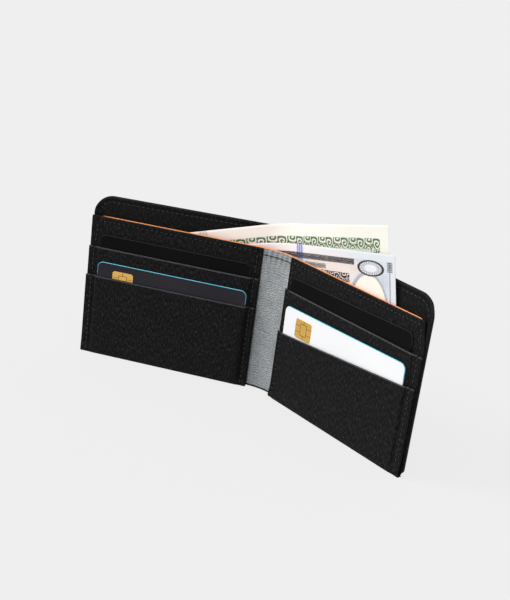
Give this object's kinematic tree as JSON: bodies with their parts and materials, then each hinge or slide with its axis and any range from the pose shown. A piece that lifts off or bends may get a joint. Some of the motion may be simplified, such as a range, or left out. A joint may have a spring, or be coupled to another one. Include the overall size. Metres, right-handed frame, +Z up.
{
  "type": "bifold wallet",
  "caption": "Bifold wallet in black woven cloth, standing open: two card pockets on each wing, grey spine, orange-lined bill compartment holding banknotes.",
  "frame": {"origin": "middle of the footprint of the open wallet, on the surface that its bottom edges stand on", "axes": "+Z up along the spine and the fold axis; +X from the left wing to the right wing; -Y towards the side that the wallet opens to, where the card pockets face"},
  "size_m": [0.2054, 0.0446, 0.1153],
  "materials": {
    "black_weave": "fine woven nylon, matt with a slight sheen",
    "black_lining": "smooth woven lining",
    "orange_lining": "smooth woven lining",
    "grey_weave": "woven nylon, cross-hatched",
    "stiffener_board": "pressed board",
    "seam_allowance": "folded cloth edges",
    "thread": "bonded thread",
    "matt_black_card": "matt",
    "charcoal_card": "satin, thin cyan core line",
    "white_card": "satin, thin cyan core line",
    "contact_plate": "polished gold plating",
    "green_note_paper": "printed cotton paper",
    "blue_note_paper": "printed cotton paper"
  },
  "bodies": {
    "left_wing": {"left_base_panel": "black_weave", "left_divider_lining": "orange_lining", "left_upper_pocket": "black_weave", "left_upper_pocket_seam": "seam_allowance", "left_lower_pocket": "black_weave", "left_lower_pocket_seam": "seam_allowance", "left_compartment_seam": "seam_allowance", "left_cover_lining": "black_lining", "left_cover_stiffener": "stiffener_board", "left_outer_cover": "black_weave", "left_panel_stitching": "thread", "left_cover_stitching": "thread", "spine_gusset": "grey_weave", "spine_divider_lining": "orange_lining", "spine_cover_lining": "black_lining", "spine_cover": "black_weave", "spine_bottom_seam": "seam_allowance", "spine_gusset_stitching": "thread", "spine_cover_stitching": "thread"},
    "right_wing": {"right_base_panel": "black_weave", "right_divider_lining": "orange_lining", "right_upper_pocket": "black_weave", "right_upper_pocket_seam": "seam_allowance", "right_lower_pocket": "black_weave", "right_lower_pocket_seam": "seam_allowance", "right_compartment_seam": "seam_allowance", "right_cover_lining": "black_lining", "right_cover_stiffener": "stiffener_board", "right_outer_cover": "black_weave", "right_panel_stitching": "thread", "right_cover_stitching": "thread"},
    "left_upper_card": {"left_upper_card": "matt_black_card"},
    "right_upper_card": {"right_upper_card": "matt_black_card"},
    "left_lower_card": {"left_lower_card": "charcoal_card", "left_lower_card_chip": "contact_plate"},
    "right_lower_card": {"right_lower_card": "white_card", "right_lower_card_chip": "contact_plate"},
    "front_note_left": {"front_note_left": "blue_note_paper", "front_note_bend": "blue_note_paper"},
    "front_note_right": {"front_note_right": "blue_note_paper"},
    "back_note_left": {"back_note_left": "green_note_paper", "back_note_bend": "green_note_paper"},
    "back_note_right": {"back_note_right": "green_note_paper"}
  },
  "joints": [
    {"name": "fold", "type": "hinge", "parent": "left_wing", "child": "right_wing", "pos_m": [0, 0.00964, 0], "axis": [0, 0, -1], "range_deg": [-36, 144], "deforming": ["spine_gusset", "spine_divider_lining", "spine_cover_lining", "spine_cover", "spine_bottom_seam", "spine_gusset_stitching", "spine_cover_stitching"]},
    {"name": "left_upper_card_slide", "type": "slide", "parent": "left_wing", "child": "left_upper_card", "axis": [0, 0, 1], "range_m": [0, 0.045]},
    {"name": "right_upper_card_slide", "type": "slide", "parent": "right_wing", "child": "right_upper_card", "axis": [0, 0, 1], "range_m": [0, 0.045]},
    {"name": "left_lower_card_slide", "type": "slide", "parent": "left_wing", "child": "left_lower_card", "axis": [0, 0, 1], "range_m": [0, 0.045]},
    {"name": "right_lower_card_slide", "type": "slide", "parent": "right_wing", "child": "right_lower_card", "axis": [0, 0, 1], "range_m": [0, 0.045]},
    {"name": "front_note_slide", "type": "slide", "parent": "left_wing", "child": "front_note_left", "axis": [0, 0, 1], "range_m": [0, 0.06]},
    {"name": "front_note_fold", "type": "hinge", "parent": "front_note_left", "child": "front_note_right", "pos_m": [0, 0.00964, 0], "axis": [0, 0, -1], "range_deg": [-36, 144], "deforming": ["front_note_bend"]},
    {"name": "back_note_slide", "type": "slide", "parent": "left_wing", "child": "back_note_left", "axis": [0, 0, 1], "range_m": [0, 0.06]},
    {"name": "back_note_fold", "type": "hinge", "parent": "back_note_left", "child": "back_note_right", "pos_m": [0, 0.00964, 0], "axis": [0, 0, -1], "range_deg": [-36, 144], "deforming": ["back_note_bend"]}
  ],
  "couplings": [
    {"joint": "front_note_fold", "follows": "fold", "ratio": 1},
    {"joint": "back_note_fold", "follows": "fold", "ratio": 1}
  ]
}
